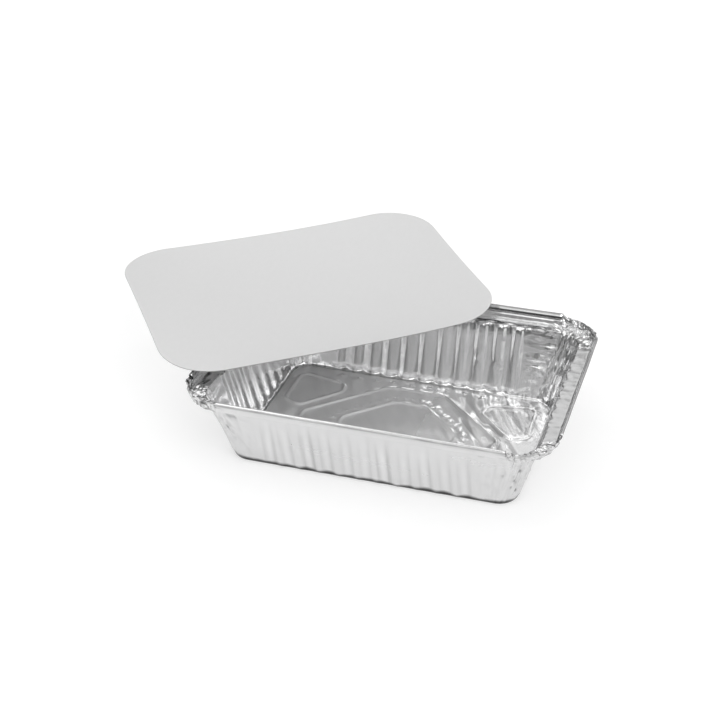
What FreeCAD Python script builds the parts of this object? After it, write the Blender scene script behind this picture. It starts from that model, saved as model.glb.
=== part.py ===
import FreeCAD, Part
import math, os
from FreeCAD import Vector

os.makedirs("parts", exist_ok=True)

# ---------------------------------------------------------------------------
# A pressed aluminium-foil food container with its loose board lid.
# Frame: +X along the long side, +Y to the back, +Z up; the origin is the
# middle of the tray's flat bottom, on the surface it stands on. Millimetres.
# ---------------------------------------------------------------------------

# ---- tray: driving dimensions ----
FOIL = 0.10              # foil thickness
BASE_L, BASE_W = 160.5, 112.7    # outline of the wall where it meets the base
TOP_L, TOP_W = 183.3, 135.5      # outline of the wall where it meets the flange
FOLD_L, FOLD_W = 198.0, 150.2    # fold between flange and upstand
RIM_L, RIM_W = 205.0, 157.2      # over the rolled rim
FLANGE_Z = 40.7          # top face of the flange
RIM_Z = 48.06            # top of the rolled rim
BASE_R, TOP_R, FOLD_R = 11.0, 13.65, 21.0   # corner radii of the three outlines
STRAIGHT_X, STRAIGHT_Y = 78.0, 54.1  # half lengths of the straight rim runs
CHAMFER_IN, CHAMFER_UP = 1.8, 1.6    # fold between base and wall
CORNER_SEGS = 6          # flats per corner

# ribs pressed inward along the walls, flutes between them
RIB_PITCH = 10.9
RIBS_LONG, RIBS_SHORT = 11, 7
RIB_IN, FLUTE_OUT = 1.4, 0.5
RIB_TOP_HALF, RIB_FOOT_HALF = 1.9, 3.3

# rolled rim along the straight runs: section of the roll
ROLL_DROP = 3.2          # height of the roll along the upstand
ROLL_IN, ROLL_OUT = 0.4, 0.8     # how far it stands proud of the upstand

# how far the crumpled corners drop below the roll's lower edge (or rise over
# it, where negative), in the order front-right, back-right, back-left,
# front-left
CORNER_DROP = (0.4, 1.0, 0.2, -1.2)
PLEAT = 0.55             # radial depth of the corner pleats

# raised beads pressed in the base
BEAD_HALF, BEAD_TOP_HALF, BEAD_H = 1.5, 0.65, 0.8
OUTER_DIAMOND = [(57.5, 4.0), (17.5, 44.0), (-17.5, 44.0), (-57.5, 4.0),
                 (-57.5, -4.0), (-17.5, -44.0), (17.5, -44.0), (57.5, -4.0)]
INNER_DIAMOND = [(34.0, 4.0), (9.0, 29.0), (-9.0, 29.0), (-34.0, 4.0),
                 (-34.0, -4.0), (-9.0, -29.0), (9.0, -29.0), (34.0, -4.0)]
CORNER_RING = [(72.3, 11.5), (72.3, 45.0), (46.0, 43.8), (41.0, 34.0), (59.5, 10.0)]
DIAMOND_R, RING_R = 8.0, 5.0

# small pips: a row outside the inner diamond, and one at the foot of each flute
PIP_HALF, PIP_TOP_HALF, PIP_H = 0.95, 0.4, 0.45
PIP_PITCH = 5.3
PIP_OUT = 4.6            # distance of the row from the inner diamond's line
FLUTE_PIP_Y = 49.3

# ---- lid: driving dimensions ----
LID_L, LID_W, LID_R = 198.7, 150.3, 32.1
LID_T = 0.5              # board thickness
LID_X, LID_Y = -74.01, 56.38      # its middle, resting askew on two rim runs
LID_YAW = 36.54          # degrees from the tray's long side
LID_Z = 47.214           # underside at the middle, before the clearance
LID_SLOPE_X, LID_SLOPE_Y = -0.02074, 0.0281
# curl of the board, mm: factors of u2, w2, uw, u3, u2w, uw2, w3, u4, u3w, u2w2,
# uw3, w4, with u along and w across the lid in units of 100 mm
LID_CURL = (7.733, 8.085, 0.154, 1.607, 0.716, 4.459, -0.046,
            0.022, -0.747, -9.024, -0.211, 1.554)
LID_CLEAR = 0.06         # it rests on the roll with this hair of a gap


# ---------------------------------------------------------------------------
# plane geometry helpers
# ---------------------------------------------------------------------------
def side_points(n, half):
    """Points along a straight wall run, from -half to +half: (s, outward)."""
    pts = []
    for i in range(n):
        c = (i - (n - 1) / 2.0) * RIB_PITCH
        lo = 0.0 if i == 0 else FLUTE_OUT
        hi = 0.0 if i == n - 1 else FLUTE_OUT
        pts += [(c - RIB_FOOT_HALF, lo), (c - RIB_TOP_HALF, -RIB_IN),
                (c + RIB_TOP_HALF, -RIB_IN), (c + RIB_FOOT_HALF, hi)]
    return [p for p in pts if abs(p[0]) < half]


def arc(cx, cy, r, a0, n):
    out = []
    for i in range(n + 1):
        a = math.radians(a0 + 90.0 * i / n)
        out.append((cx + r * math.cos(a), cy + r * math.sin(a)))
    return out


def ribbed_outline(length, width, r):
    """Counter-clockwise outline of the wall: four corners in turn, each
    followed by the ribbed run after it."""
    hx, hy = length / 2.0, width / 2.0
    cx, cy = hx - r, hy - r
    pts = []
    pts += arc(cx, -cy, r, -90, CORNER_SEGS)
    pts += [(hx + o, s) for s, o in side_points(RIBS_SHORT, cy)]
    pts += arc(cx, cy, r, 0, CORNER_SEGS)
    pts += [(-s, hy + o) for s, o in side_points(RIBS_LONG, cx)]
    pts += arc(-cx, cy, r, 90, CORNER_SEGS)
    pts += [(-hx - o, -s) for s, o in side_points(RIBS_SHORT, cy)]
    pts += arc(-cx, -cy, r, 180, CORNER_SEGS)
    pts += [(s, -hy - o) for s, o in side_points(RIBS_LONG, cx)]
    return pts


def offset(poly, d):
    """Move every edge of a counter-clockwise polygon outward by d."""
    n = len(poly)
    if abs(d) < 1e-12:
        return list(poly)
    out = []
    for i in range(n):
        x0, y0 = poly[i - 1]
        x1, y1 = poly[i]
        x2, y2 = poly[(i + 1) % n]
        ax, ay = x1 - x0, y1 - y0
        bx, by = x2 - x1, y2 - y1
        la, lb = math.hypot(ax, ay), math.hypot(bx, by)
        n1 = (ay / la, -ax / la)
        n2 = (by / lb, -bx / lb)
        k = d / (1.0 + n1[0] * n2[0] + n1[1] * n2[1])
        out.append((x1 + k * (n1[0] + n2[0]), y1 + k * (n1[1] + n2[1])))
    return out


def rounded(poly, r, n=3):
    """Counter-clockwise polygon with its corners rounded in n flats."""
    m = len(poly)
    out = []
    for i in range(m):
        px, py = poly[i - 1]
        x, y = poly[i]
        qx, qy = poly[(i + 1) % m]
        ax, ay = px - x, py - y
        bx, by = qx - x, qy - y
        la, lb = math.hypot(ax, ay), math.hypot(bx, by)
        ax, ay, bx, by = ax / la, ay / la, bx / lb, by / lb
        ang = math.acos(max(-1.0, min(1.0, ax * bx + ay * by)))
        cut = min(r / math.tan(ang / 2.0), 0.46 * min(la, lb))
        rr = cut * math.tan(ang / 2.0)
        bis = math.hypot(ax + bx, ay + by)
        h = rr / math.sin(ang / 2.0)
        cx, cy = x + (ax + bx) / bis * h, y + (ay + by) / bis * h
        a0 = math.atan2(y + ay * cut - cy, x + ax * cut - cx)
        a1 = math.atan2(y + by * cut - cy, x + bx * cut - cx)
        while a1 < a0:
            a1 += 2.0 * math.pi
        for j in range(n + 1):
            a = a0 + (a1 - a0) * j / n
            out.append((cx + rr * math.cos(a), cy + rr * math.sin(a)))
    return out


def mirrored(poly, sx, sy):
    out = [(x * sx, y * sy) for x, y in poly]
    return out if sx * sy > 0 else out[::-1]


def square(cx, cy, h, ang=0.0):
    c, s = math.cos(ang), math.sin(ang)
    return [(cx + c * x - s * y, cy + s * x + c * y)
            for x, y in ((-h, -h), (h, -h), (h, h), (-h, h))]


def along(poly, pitch):
    """Evenly spaced points along a closed polygon, with the edge direction."""
    n = len(poly)
    segs = []
    total = 0.0
    for i in range(n):
        a, b = poly[i], poly[(i + 1) % n]
        l = math.hypot(b[0] - a[0], b[1] - a[1])
        segs.append((total, l, a, b))
        total += l
    count = int(round(total / pitch))
    out = []
    for j in range(count):
        d = total * j / count
        for s0, l, a, b in segs:
            if s0 <= d <= s0 + l and l > 1e-9:
                t = (d - s0) / l
                out.append((a[0] + (b[0] - a[0]) * t, a[1] + (b[1] - a[1]) * t,
                            math.atan2(b[1] - a[1], b[0] - a[0])))
                break
    return out


def miter(a1, a2, t):
    """Offset of a section corner to the outer skin, t away from both of its
    lines, whose angles above the horizontal are a1 and a2."""
    n1 = (math.sin(a1), -math.cos(a1))
    n2 = (math.sin(a2), -math.cos(a2))
    k = t / (1.0 + n1[0] * n2[0] + n1[1] * n2[1])
    return (k * (n1[0] + n2[0]), k * (n1[1] + n2[1]))


# ---------------------------------------------------------------------------
# face helpers: everything on the tray is flat facets, so both skins are exact
# ---------------------------------------------------------------------------
FACES = []


def v3(p, z):
    return Vector(p[0], p[1], z)


def wire(pts):
    return Part.makePolygon(list(pts) + [pts[0]])


def face(pts):
    FACES.append(Part.Face(wire(pts)))


def tri(a, b, c):
    FACES.append(Part.Face(wire([a, b, c])))


def quad(a, b, c, d):
    """Flat quad, or two triangles if its corners aren't in one plane."""
    n = (b - a).cross(c - a)
    if n.Length < 1e-9:
        tri(a, c, d)
        return
    n.normalize()
    if abs((d - a).dot(n)) < 1e-7:
        face([a, b, c, d])
    else:
        tri(a, b, c)
        tri(a, c, d)


def strip(lo, hi, closed=True):
    n = len(lo)
    for i in range(n if closed else n - 1):
        j = (i + 1) % n
        quad(lo[i], lo[j], hi[j], hi[i])


def plate(outer, holes, z):
    """Flat face with holes, its outline counter-clockwise."""
    f = Part.Face([wire([v3(p, z) for p in outer])] +
                  [wire([v3(p, z) for p in h]) for h in holes])
    if not f.isValid():
        f.fix(1e-6, 1e-6, 1e-6)
    FACES.append(f)


# ---------------------------------------------------------------------------
# the tray
# ---------------------------------------------------------------------------
t = FOIL
gam = math.atan2(CHAMFER_UP, CHAMFER_IN)                    # chamfer
draft = (TOP_L - BASE_L) / 2.0
alp = math.atan2(FLANGE_Z - (t + CHAMFER_UP), draft)        # wall

base_in = ribbed_outline(BASE_L, BASE_W, BASE_R)
level0 = offset(base_in, -CHAMFER_IN)
level1 = base_in
level2 = ribbed_outline(TOP_L, TOP_W, TOP_R)

m0 = miter(0.0, gam, t)
m1 = miter(gam, alp, t)
m2 = miter(alp, 0.0, t)
level0_out, z0_out = offset(level0, m0[0]), t + m0[1]
level1_out, z1_out = offset(level1, m1[0]), t + CHAMFER_UP + m1[1]
level2_out, z2_out = offset(level2, m2[0]), FLANGE_Z + m2[1]

# base: beads and pips as (foot outline, top outline, inner top, inner foot)
bead_run = BEAD_HALF - BEAD_TOP_HALF
phi = math.atan2(BEAD_H, bead_run)
bead_shift = t * (1.0 / math.cos(phi) - 1.0) / math.tan(phi)
pip_run = PIP_HALF - PIP_TOP_HALF
psi = math.atan2(PIP_H, pip_run)
pip_shift = t * (1.0 / math.cos(psi) - 1.0) / math.tan(psi)

outer_line = rounded(OUTER_DIAMOND, DIAMOND_R)
inner_line = rounded(INNER_DIAMOND, DIAMOND_R)
corner_lines = [mirrored(rounded(CORNER_RING, RING_R), sx, sy)
                for sx in (1, -1) for sy in (1, -1)]


def bead(line, skin):
    """Faces of one bead; returns its outer and inner foot outlines."""
    d = bead_shift if skin else 0.0
    zb = 0.0 if skin else t
    zt = BEAD_H if skin else t + BEAD_H
    o0 = offset(line, BEAD_HALF - d)
    o1 = offset(line, BEAD_TOP_HALF - d)
    i1 = offset(line, -BEAD_TOP_HALF + d)
    i0 = offset(line, -BEAD_HALF + d)
    O0, O1 = [v3(p, zb) for p in o0], [v3(p, zt) for p in o1]
    I1, I0 = [v3(p, zt) for p in i1], [v3(p, zb) for p in i0]
    strip(O0, O1)
    strip(O1, I1)
    strip(I1, I0)
    return o0, i0


def pip(x, y, ang, skin):
    d = pip_shift if skin else 0.0
    zb = 0.0 if skin else t
    zt = PIP_H if skin else t + PIP_H
    o0 = square(x, y, PIP_HALF - d, ang)
    o1 = square(x, y, PIP_TOP_HALF - d, ang)
    strip([v3(p, zb) for p in o0], [v3(p, zt) for p in o1])
    face([v3(p, zt) for p in o1])
    return o0


pip_row = along(offset(inner_line, PIP_OUT), PIP_PITCH)
flute_pips = []
for i in range(RIBS_LONG - 1):
    x = (i - (RIBS_LONG - 2) / 2.0) * RIB_PITCH
    flute_pips += [(x, FLUTE_PIP_Y, 0.0), (x, -FLUTE_PIP_Y, 0.0)]

for skin in (0, 1):
    z = 0.0 if skin else t
    field_holes = []
    for line in corner_lines:
        o0, i0 = bead(line, skin)
        field_holes.append(o0)
        plate(i0, [], z)
    o0, i0 = bead(outer_line, skin)
    field_holes.append(o0)
    p0, q0 = bead(inner_line, skin)
    plate(q0, [], z)
    row = [pip(x, y, a, skin) for x, y, a in pip_row]
    plate(i0, [p0] + row, z)
    field_holes += [pip(x, y, a, skin) for x, y, a in flute_pips]
    plate(level0_out if skin else level0, field_holes, z)

# fold and wall
in0 = [v3(p, t) for p in level0]
in1 = [v3(p, t + CHAMFER_UP) for p in level1]
in2 = [v3(p, FLANGE_Z) for p in level2]
out0 = [v3(p, 0.0) for p in level0_out]
out1 = [v3(p, z1_out) for p in level1_out]
out2 = [v3(p, z2_out) for p in level2_out]
strip(in0, in1)
strip(in1, in2)
strip(out0, out1)
strip(out1, out2)

# ---- rim section along a straight run, as (distance beyond the fold, z) ----
fold_s = FOLD_L / 2.0
over = (RIM_L - FOLD_L) / 2.0
lean = math.radians(68.0)
for _ in range(30):
    # the roll's rounded section touches both sides of the rim's box
    top_s = over - ROLL_OUT * math.sin(lean) + 0.45 * math.cos(lean)
    top_z = RIM_Z - 0.05 * math.cos(lean)
    lean = math.atan2(top_z - FLANGE_Z, top_s)
u = (math.cos(lean), math.sin(lean))
n = (math.sin(lean), -math.cos(lean))
full = math.hypot(top_s, top_z - FLANGE_Z)


def sec(a, b):
    """Point a along the upstand from the fold and b outward from it."""
    return (a * u[0] + b * n[0], FLANGE_Z + a * u[1] + b * n[1])


h0 = full - ROLL_DROP
path = [sec(0.0, 0.0), sec(h0, 0.0), sec(h0 + 0.35, -ROLL_IN),
        sec(full - 0.45, -ROLL_IN), sec(full, -0.05), sec(full, ROLL_OUT - 0.45),
        sec(full - 0.45, ROLL_OUT), sec(h0 + 0.45, ROLL_OUT),
        sec(h0 + 0.05, ROLL_OUT - 0.4), sec(h0 + 0.05, 0.28)]
angs = [math.atan2(path[i + 1][1] - path[i][1], path[i + 1][0] - path[i][0])
        for i in range(len(path) - 1)]
path_out = []
for i, p in enumerate(path):
    if i == 0:
        d = miter(0.0, angs[0], t)
    elif i == len(path) - 1:
        d = miter(angs[-1], angs[-1], t)
    else:
        d = miter(angs[i - 1], angs[i], t)
    path_out.append((p[0] + d[0], p[1] + d[1]))

hemx, hemy = STRAIGHT_X, STRAIGHT_Y
fx, fy = FOLD_L / 2.0, FOLD_W / 2.0


def run_point(side, end, p):
    """Point of the rim section p at one end (-1 or 1) of a straight run."""
    s, z = p
    if side == 0:                       # front
        return Vector(end * hemx, -fy - s, z)
    if side == 1:                       # right
        return Vector(fx + s, end * hemy, z)
    if side == 2:                       # back
        return Vector(-end * hemx, fy + s, z)
    return Vector(-fx - s, -end * hemy, z)


for side in range(4):
    for sect in (path, path_out):
        for i in range(len(sect) - 1):
            quad(run_point(side, -1, sect[i]), run_point(side, 1, sect[i]),
                 run_point(side, 1, sect[i + 1]), run_point(side, -1, sect[i + 1]))
    # free edge of the roll and its two cut ends
    quad(run_point(side, -1, path[-1]), run_point(side, 1, path[-1]),
         run_point(side, 1, path_out[-1]), run_point(side, -1, path_out[-1]))
    for end in (-1, 1):
        for i in range(1, len(path) - 1):
            quad(run_point(side, end, path[i]), run_point(side, end, path[i + 1]),
                 run_point(side, end, path_out[i + 1]), run_point(side, end, path_out[i]))

# ---- flange: four flat strips, and pleated corners ----
count = len(level2)
long_n = len(side_points(RIBS_LONG, TOP_L / 2.0 - TOP_R))
short_n = len(side_points(RIBS_SHORT, TOP_W / 2.0 - TOP_R))
C = CORNER_SEGS + 1
starts = [0, C + short_n, 2 * C + short_n + long_n, 3 * C + 2 * short_n + long_n]
# corner k spans level2[starts[k] .. starts[k] + CORNER_SEGS]
centres = [(hemx, -hemy), (hemx, hemy), (-hemx, hemy), (-hemx, -hemy)]
before = [0, 1, 2, 3]                   # the straight run before each corner

for skin in (0, 1):
    lvl = level2_out if skin else level2
    zf = z2_out if skin else FLANGE_Z
    sect = path_out if skin else path
    for k in range(4):
        # straight strip after corner k: run side (k + 1) % 4
        side = (k + 1) % 4
        a = starts[k] + CORNER_SEGS
        b = starts[(k + 1) % 4]
        if b <= a:
            b += count
        inner = [v3(lvl[i % count], zf) for i in range(a, b + 1)]
        face([run_point(side, -1, sect[0]), run_point(side, 1, sect[0])] + inner[::-1])

corner_rows = []
for k in range(4):
    cx, cy = centres[k]
    a0 = -90.0 + 90.0 * k
    fold_in, fold_out, top_in, top_out = [], [], [], []
    for i in range(CORNER_SEGS + 1):
        a = math.radians(a0 + 90.0 * i / CORNER_SEGS)
        ca, sa = math.cos(a), math.sin(a)
        w = math.sin(math.pi * i / CORNER_SEGS)
        if i in (0, CORNER_SEGS):
            sgn = 0.0
            w = 0.0
        else:
            sgn = 1.0 if i % 2 else -1.0
        # fold line
        r = FOLD_R + 0.45 * PLEAT * sgn
        z = FLANGE_Z - 0.35 * sgn
        side = before[k] if i == 0 else (k + 1) % 4
        if i == 0:
            f_in, f_out = run_point(side, 1, path[0]), run_point(side, 1, path_out[0])
            t_in, t_out = run_point(side, 1, path[1]), run_point(side, 1, path_out[1])
        elif i == CORNER_SEGS:
            f_in, f_out = run_point(side, -1, path[0]), run_point(side, -1, path_out[0])
            t_in, t_out = run_point(side, -1, path[1]), run_point(side, -1, path_out[1])
        else:
            d = path_out[0]
            f_in = Vector(cx + r * ca, cy + r * sa, z)
            ro = r + d[0]
            f_out = Vector(cx + ro * ca, cy + ro * sa, z + d[1] - FLANGE_Z)
            rt = FOLD_R + path[1][0] + 0.5 * w + PLEAT * sgn
            zt = path[1][1] - CORNER_DROP[k] * math.sqrt(w) + 0.3 * sgn
            t_in = Vector(cx + rt * ca, cy + rt * sa, zt)
            rn = rt + t * math.sin(lean)
            t_out = Vector(cx + rn * ca, cy + rn * sa, zt - t * math.cos(lean))
        fold_in.append(f_in)
        fold_out.append(f_out)
        top_in.append(t_in)
        top_out.append(t_out)
    wall_in = [v3(level2[starts[k] + i], FLANGE_Z) for i in range(CORNER_SEGS + 1)]
    wall_out = [v3(level2_out[starts[k] + i], z2_out) for i in range(CORNER_SEGS + 1)]
    strip(wall_in, fold_in, closed=False)
    strip(wall_out, fold_out, closed=False)
    strip(fold_in, top_in, closed=False)
    strip(fold_out, top_out, closed=False)
    strip(top_in, top_out, closed=False)


comp = Part.Compound(FACES)
comp.sewShape()
shells = comp.Shells
print("tray faces", len(FACES), "shells", len(shells), "closed", [s.isClosed() for s in shells])
tray = Part.Solid(shells[0])
if tray.Volume < 0:
    tray.reverse()
print("tray valid", tray.isValid(), "volume", round(tray.Volume, 1), "mm3")
b = tray.BoundBox
print("tray box", [round(c, 2) for c in (b.XMin, b.YMin, b.ZMin, b.XMax, b.YMax, b.ZMax)])
tray.exportStep("parts/foil_tray.step")


# ---------------------------------------------------------------------------
# the lid: one sheet of board, a little curled, resting on the rolled rim
# ---------------------------------------------------------------------------
yaw = math.radians(LID_YAW)
cw, sw = math.cos(yaw), math.sin(yaw)


def lid_point(uu, ww):
    a, b = uu / 100.0, ww / 100.0
    k = LID_CURL
    dx, dy = cw * uu - sw * ww, sw * uu + cw * ww
    z = (LID_Z + LID_CLEAR + LID_SLOPE_X * dx + LID_SLOPE_Y * dy
         + k[0] * a * a + k[1] * b * b + k[2] * a * b + k[3] * a ** 3
         + k[4] * a * a * b + k[5] * a * b * b + k[6] * b ** 3
         + k[7] * a ** 4 + k[8] * a ** 3 * b + k[9] * a * a * b * b
         + k[10] * a * b ** 3 + k[11] * b ** 4)
    return Vector(LID_X + dx, LID_Y + dy, z)


NU, NW = 11, 9
grid = [[lid_point((i / (NU - 1.0) - 0.5) * (LID_L + 16.0),
                   (j / (NW - 1.0) - 0.5) * (LID_W + 16.0))
         for j in range(NW)] for i in range(NU)]
under = Part.BSplineSurface()
under.interpolate(grid)
slab = under.toShape().extrude(Vector(0, 0, LID_T))

hl, hw, r = LID_L / 2.0, LID_W / 2.0, LID_R
k = r * (1.0 - math.sqrt(0.5))


def lp(uu, ww):
    return Vector(LID_X + cw * uu - sw * ww, LID_Y + sw * uu + cw * ww, 30.0)


edges = [
    Part.LineSegment(lp(-hl + r, -hw), lp(hl - r, -hw)).toShape(),
    Part.Arc(lp(hl - r, -hw), lp(hl - k, -hw + k), lp(hl, -hw + r)).toShape(),
    Part.LineSegment(lp(hl, -hw + r), lp(hl, hw - r)).toShape(),
    Part.Arc(lp(hl, hw - r), lp(hl - k, hw - k), lp(hl - r, hw)).toShape(),
    Part.LineSegment(lp(hl - r, hw), lp(-hl + r, hw)).toShape(),
    Part.Arc(lp(-hl + r, hw), lp(-hl + k, hw - k), lp(-hl, hw - r)).toShape(),
    Part.LineSegment(lp(-hl, hw - r), lp(-hl, -hw + r)).toShape(),
    Part.Arc(lp(-hl, -hw + r), lp(-hl + k, -hw + k), lp(-hl + r, -hw)).toShape(),
]
blank = Part.Face(Part.Wire(edges)).extrude(Vector(0, 0, 50.0))
lid = blank.common(slab)
lid = lid.Solids[0]
print("lid valid", lid.isValid(), "volume", round(lid.Volume, 1), "mm3",
      "expected", round((LID_L * LID_W - (4 - math.pi) * LID_R ** 2) * LID_T, 1))
b = lid.BoundBox
print("lid box", [round(c, 2) for c in (b.XMin, b.YMin, b.ZMin, b.XMax, b.YMax, b.ZMax)])
lid.exportStep("parts/board_lid.step")
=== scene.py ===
import bpy, math
import numpy as np
from mathutils import Vector, Matrix
from mathutils.geometry import delaunay_2d_cdt
from mathutils.kdtree import KDTree


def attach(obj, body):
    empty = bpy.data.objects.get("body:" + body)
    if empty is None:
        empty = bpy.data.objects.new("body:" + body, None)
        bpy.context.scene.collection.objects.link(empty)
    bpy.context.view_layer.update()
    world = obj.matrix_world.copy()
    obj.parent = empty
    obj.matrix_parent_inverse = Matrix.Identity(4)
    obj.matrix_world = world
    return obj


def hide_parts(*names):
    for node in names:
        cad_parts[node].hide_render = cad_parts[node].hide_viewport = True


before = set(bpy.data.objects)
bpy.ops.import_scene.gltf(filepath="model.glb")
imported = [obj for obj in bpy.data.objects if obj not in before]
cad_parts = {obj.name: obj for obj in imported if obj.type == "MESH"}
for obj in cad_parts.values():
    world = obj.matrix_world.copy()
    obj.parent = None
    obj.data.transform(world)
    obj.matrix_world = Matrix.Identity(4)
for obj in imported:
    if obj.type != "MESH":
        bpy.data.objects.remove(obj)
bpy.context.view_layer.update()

MM = 0.001

# ---------------------------------------------------------------------------
# sizes in millimetres, as in the CAD source
# ---------------------------------------------------------------------------
FOIL = 0.10
BASE = (80.25, 56.35)          # wall foot, half sizes
TOP = (91.65, 67.75)           # wall top at the flange
FOLD = (99.0, 75.1)            # flange to upstand
RIM = (102.5, 78.6)
RUN = (78.0, 54.1)             # half lengths of the straight rim runs
BASE_R, TOP_R, FOLD_R = 11.0, 13.65, 21.0
FLANGE_Z, RIM_Z = 40.7, 48.06
PITCH = 10.9
RIBS = (11, 7)
FOOT_Z = 1.7
BEAD_H = 0.72


class Noise:
    """Seeded value noise on a table, for arrays of points."""

    def __init__(self, seed):
        self.t = np.random.RandomState(seed).rand(48, 48, 48) * 2.0 - 1.0

    def __call__(self, p):
        p = np.asarray(p, float)
        i = np.floor(p).astype(int)
        f = p - i
        f = f * f * (3.0 - 2.0 * f)
        out = 0.0
        for dx in (0, 1):
            wx = f[..., 0] if dx else 1.0 - f[..., 0]
            for dy in (0, 1):
                wy = f[..., 1] if dy else 1.0 - f[..., 1]
                for dz in (0, 1):
                    wz = f[..., 2] if dz else 1.0 - f[..., 2]
                    out = out + wx * wy * wz * self.t[
                        (i[..., 0] + dx) % 48, (i[..., 1] + dy) % 48, (i[..., 2] + dz) % 48]
        return out

    def fbm(self, p, octaves=3):
        out, a, tot = 0.0, 1.0, 0.0
        p = np.asarray(p, float)
        for k in range(octaves):
            out = out + a * self(p * (2.03 ** k) + 7.3 * k)
            tot += a
            a *= 0.5
        return out / tot

    def ridge(self, p, octaves=2):
        """Sharp creases between smooth cells, about -1 to 1."""
        out, a, tot = 0.0, 1.0, 0.0
        p = np.asarray(p, float)
        for k in range(octaves):
            out = out + a * (1.0 - 2.6 * np.abs(self(p * (1.9 ** k) + 11.1 * k)))
            tot += a
            a *= 0.5
        return out / tot


def smooth(x, a, b):
    t = np.clip((np.asarray(x, float) - a) / (b - a), 0.0, 1.0)
    return t * t * (3.0 - 2.0 * t)


# ---------------------------------------------------------------------------
# columns round the tray: each carries its place at the wall foot, wall top
# and fold, its outward direction and what kind of place it is
# ---------------------------------------------------------------------------
rng = np.random.RandomState(20)
cols = []
PER_PITCH = 10
CORNER_COLS = 56


def rib_wave(s, n):
    """Outward offset of the wall at s along a run with n inward ribs."""
    k = round(s / PITCH)
    edge = (n - 1) / 2
    k = max(-edge, min(edge, k))
    d = abs(s - k * PITCH)
    inward = -1.1 * (1.0 - smooth(d, 1.2, 3.9))
    flute = 0.3 * smooth(d, 3.1, 4.9)
    if abs(s) > edge * PITCH:
        flute = 0.0
    return float(inward + flute)


SIDES = [((0, -1), (1, 0), 0), ((1, 0), (0, 1), 1), ((0, 1), (-1, 0), 0), ((-1, 0), (0, -1), 1)]
for k, (nrm, tan, axis) in enumerate(SIDES):
    n = RIBS[axis]
    # along x the distance from the middle is the y half size, and so on
    hb, ht, hf = BASE[1 - axis], TOP[1 - axis], FOLD[1 - axis]
    if axis == 1:
        hb, ht, hf = BASE[0], TOP[0], FOLD[0]
        ab, at = BASE[1] - BASE_R, RUN[1]
    else:
        hb, ht, hf = BASE[1], TOP[1], FOLD[1]
        ab, at = BASE[0] - BASE_R, RUN[0]
    sr = (n - 1) / 2 * PITCH + 4.6
    zone = np.linspace(-sr, sr, int(round(2 * sr / PITCH * PER_PITCH)) + 1)
    panel = np.linspace(0, 1, 12 if axis == 0 else 11)[1:]
    items = [(-(sr + p * (ab - sr)), -(sr + p * (at - sr)), 0.0, float(p)) for p in panel[::-1]]
    items += [(s, s, rib_wave(s, n), 0.0) for s in zone]
    items += [(sr + p * (ab - sr), sr + p * (at - sr), 0.0, float(p)) for p in panel]
    nrm, tan = np.array(nrm, float), np.array(tan, float)
    for sb, st, wave, p in items:
        cols.append(dict(b=nrm * hb + tan * sb, t=nrm * ht + tan * st, f=nrm * hf + tan * st,
                         n=nrm, wave=wave, panel=p, corner=0.0, run=True, th=0.0, k=k, s=st))
    # the corner after this side
    a0 = -90.0 + 90.0 * k
    sx, sy = [(1, -1), (1, 1), (-1, 1), (-1, -1)][k]
    cb = np.array([sx * (BASE[0] - BASE_R), sy * (BASE[1] - BASE_R)])
    ct = np.array([sx * RUN[0], sy * RUN[1]])
    for i in range(1, CORNER_COLS):
        u = i / CORNER_COLS
        a = math.radians(a0 + 90.0 * u)
        d = np.array([math.cos(a), math.sin(a)])
        cols.append(dict(b=cb + d * BASE_R, t=ct + d * TOP_R, f=ct + d * FOLD_R, n=d, wave=0.0,
                         panel=1.0, corner=1.0, run=False, th=u, k=k, s=u * math.pi / 2 * 24.5))

NC = len(cols)
B = np.array([c["b"] for c in cols])
T = np.array([c["t"] for c in cols])
F = np.array([c["f"] for c in cols])
N2 = np.array([c["n"] for c in cols])
WAVE = np.array([c["wave"] for c in cols])
PANEL = np.array([c["panel"] for c in cols])
CORNER = np.array([c["corner"] for c in cols])
RUNS = np.array([c["run"] for c in cols])
TH = np.array([c["th"] for c in cols])
KK = np.array([c["k"] for c in cols])
# arc length along the fold, and the distance from the nearest corner's middle
ARC = np.r_[0.0, np.cumsum(np.linalg.norm(np.diff(np.vstack([F, F[:1]]), axis=0), axis=1))]
PERIM = ARC[-1]
ARC = ARC[:-1]
MIDS = np.array([ARC[(CORNER > 0) & (KK == k)].mean() for k in range(4)])
gap = (ARC[None] - MIDS[:, None] + PERIM / 2) % PERIM - PERIM / 2
NEAR = np.abs(gap).argmin(0)
Q = gap[NEAR, np.arange(NC)]
AQ = np.abs(Q)
W_ARC = 1.0 - smooth(AQ, 14.0, 23.0)          # the corner itself
W_WIDE = 1.0 - smooth(AQ, 22.0, 40.0)         # the corner with its plain panels
SIDE = np.where(CORNER > 0, -1, KK)
# which flank of a corner: the run before it (Q < 0) or after it
FLANK = np.where(Q < 0, NEAR, (NEAR + 1) % 4)   # 0 front, 1 right, 2 back, 3 left
MIDC = np.where(CORNER > 0, np.sin(np.pi * TH), 0.0)
CORNER_UP = np.where(CORNER > 0, np.clip(4.0 * TH * (1 - TH), 0, 1) ** 0.5, 0.0)


def zigzag(s, seed, lo, hi):
    """Folds with sharp crests and uneven widths and depths, round the tray."""
    r = np.random.RandomState(seed)
    pos, val, x, sgn = [0.0], [0.0], 0.0, 1.0
    while x < PERIM - hi:
        x += lo + (hi - lo) * r.rand()
        pos.append(x)
        val.append(sgn * (0.3 + 0.7 * r.rand()))
        sgn = -sgn
    pos.append(PERIM)
    val.append(0.0)
    return np.interp(np.mod(s, PERIM), pos, val)


nz1, nz2, nz3, nz4 = Noise(1), Noise(2), Noise(3), Noise(4)

# ---------------------------------------------------------------------------
# rows up the section
# ---------------------------------------------------------------------------
rows = []          # (name, parameter)
WALL_TOP_Z = FLANGE_Z


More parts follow.
